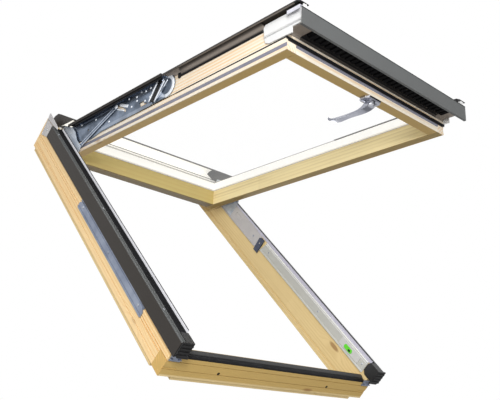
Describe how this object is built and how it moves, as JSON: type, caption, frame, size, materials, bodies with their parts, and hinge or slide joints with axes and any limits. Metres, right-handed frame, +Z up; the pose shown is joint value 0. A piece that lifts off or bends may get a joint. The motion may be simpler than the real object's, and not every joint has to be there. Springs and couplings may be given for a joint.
{
  "type": "top-hung and centre-pivot roof window",
  "caption": "Timber roof window with metal weather cladding; the sash swings up on top-hinged arms, turns about a middle pivot and is closed by a lever handle.",
  "frame": {"origin": "middle of the flat bottom face of the frame's sill", "axes": "+X from the left jamb to the right jamb seen from outside, +Y from the weather side into the room, +Z up the frame"},
  "size_m": [0.7896, 0.9262, 1.2025],
  "materials": {
    "pine": "clear lacquered pine",
    "frame_cladding": "grey-brown coated aluminium",
    "zinc_steel": "zinc plated steel",
    "black_rubber": "matt",
    "grey_rubber": "matt",
    "black_plastic": "matt",
    "light_sheet": "satin",
    "pale_plastic": "satin",
    "dark_steel": "satin",
    "green_vial": "clear gloss",
    "glass": "clear",
    "spacer": "satin",
    "white_plastic": "satin",
    "chrome": "polished"
  },
  "bodies": {
    "frame": {"frame_jamb_left": "pine", "frame_jamb_right": "pine", "frame_head": "pine", "frame_sill": "pine", "jamb_claddings": "frame_cladding", "jamb_gaskets": "black_rubber", "reveal_trims": "light_sheet", "corner_caps": "black_plastic", "sill_clips": "zinc_steel", "sill_cladding": "frame_cladding", "sill_gasket": "black_rubber", "fixing_strips": "zinc_steel", "top_plates": "light_sheet", "keeper_plates": "light_sheet", "lower_channels": "pale_plastic", "striker_brackets": "dark_steel", "level_plate": "pale_plastic", "level_vial": "green_vial", "hinge_brackets": "zinc_steel", "head_hood": "frame_cladding"},
    "arms": {"arm_left": "zinc_steel", "arm_right": "zinc_steel", "arm_covers": "frame_cladding", "arm_seals": "black_rubber"},
    "stays": {"stays": "zinc_steel"},
    "sash": {"sash_stile_left": "pine", "sash_stile_right": "pine", "sash_top_rail": "pine", "sash_bottom_rail": "pine", "sash_gaskets": "grey_rubber", "sash_black_seals": "black_rubber", "sash_glass": "glass", "glass_spacer": "spacer", "glazing_caps": "frame_cladding", "sash_covers": "frame_cladding", "cover_seals": "black_rubber", "cover_caps": "black_plastic", "sash_skirt": "frame_cladding", "sash_closure": "frame_cladding", "vent_brush": "black_plastic", "sash_corner_pieces": "white_plastic", "corner_clips": "zinc_steel", "handle_base": "chrome", "pivot_pins": "zinc_steel"},
    "handle": {"handle_lever": "chrome"}
  },
  "joints": [
    {"name": "top_hinge", "type": "hinge", "parent": "frame", "child": "arms", "pos_m": [0, -0.1135, 1.031], "axis": [-1, 0, 0], "range_deg": [-45.56, 0]},
    {"name": "middle_pivot", "type": "hinge", "parent": "arms", "child": "sash", "pos_m": [0, -0.46162, 0.72043], "axis": [-1, 0, 0], "range_deg": [0, 150]},
    {"name": "handle_turn", "type": "hinge", "parent": "sash", "child": "handle", "pos_m": [0.007, -0.74385, 0.2784], "axis": [0, 0.7002, -0.714], "range_deg": [0, 90]},
    {"name": "stay_hinge", "type": "hinge", "parent": "frame", "child": "stays", "pos_m": [0, -0.0995, 0.952], "axis": [-1, 0, 0], "range_deg": [-66.1, 0]}
  ],
  "couplings": [
    {"joint": "stay_hinge", "follows": "top_hinge", "ratio": 1.448}
  ]
}
